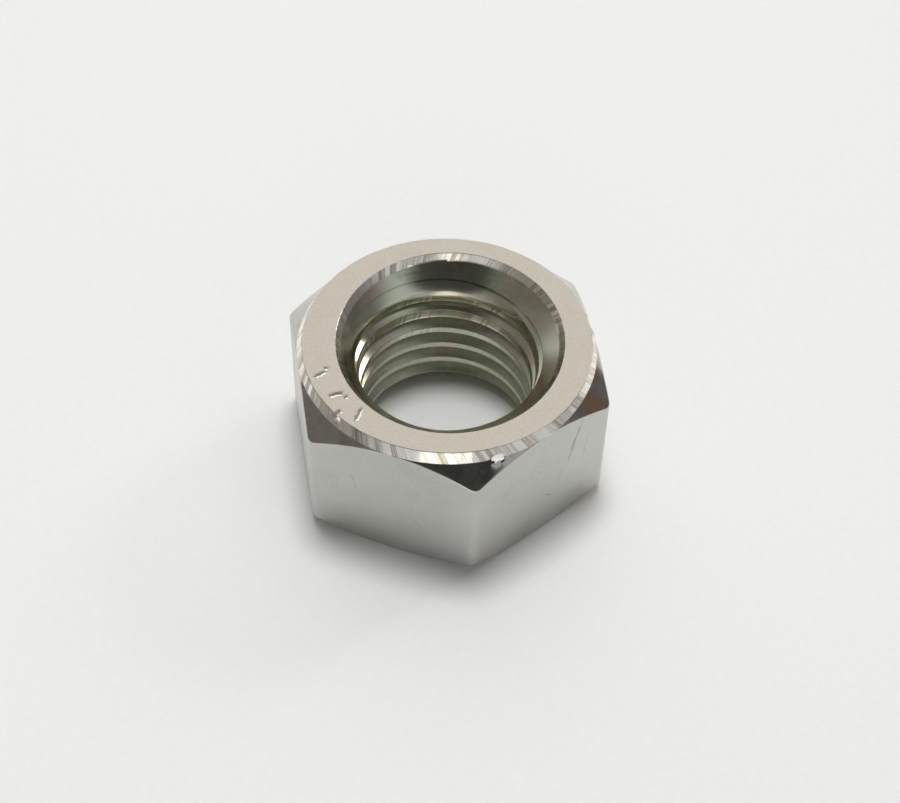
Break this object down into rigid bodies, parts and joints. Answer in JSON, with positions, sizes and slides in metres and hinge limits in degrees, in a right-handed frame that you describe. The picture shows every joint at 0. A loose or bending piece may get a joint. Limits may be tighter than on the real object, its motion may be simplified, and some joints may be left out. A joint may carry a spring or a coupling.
{
  "type": "hex nut",
  "caption": "Plain hexagonal nut for a right-hand coarse thread, with chamfered corners, a wide countersink inside the turned top face and a small one underneath.",
  "frame": {"origin": "centre of the bottom face, on the thread's axis", "axes": "+Z along the thread's axis, towards the side with the wide countersink; two opposite corners of the hexagon lie on X and two opposite flats face Y"},
  "size_m": [0.0526, 0.046, 0.024],
  "materials": {
    "steel": "satin, turned on the end faces"
  },
  "bodies": {
    "root": {"hex_nut": "steel"}
  },
  "joints": []
}
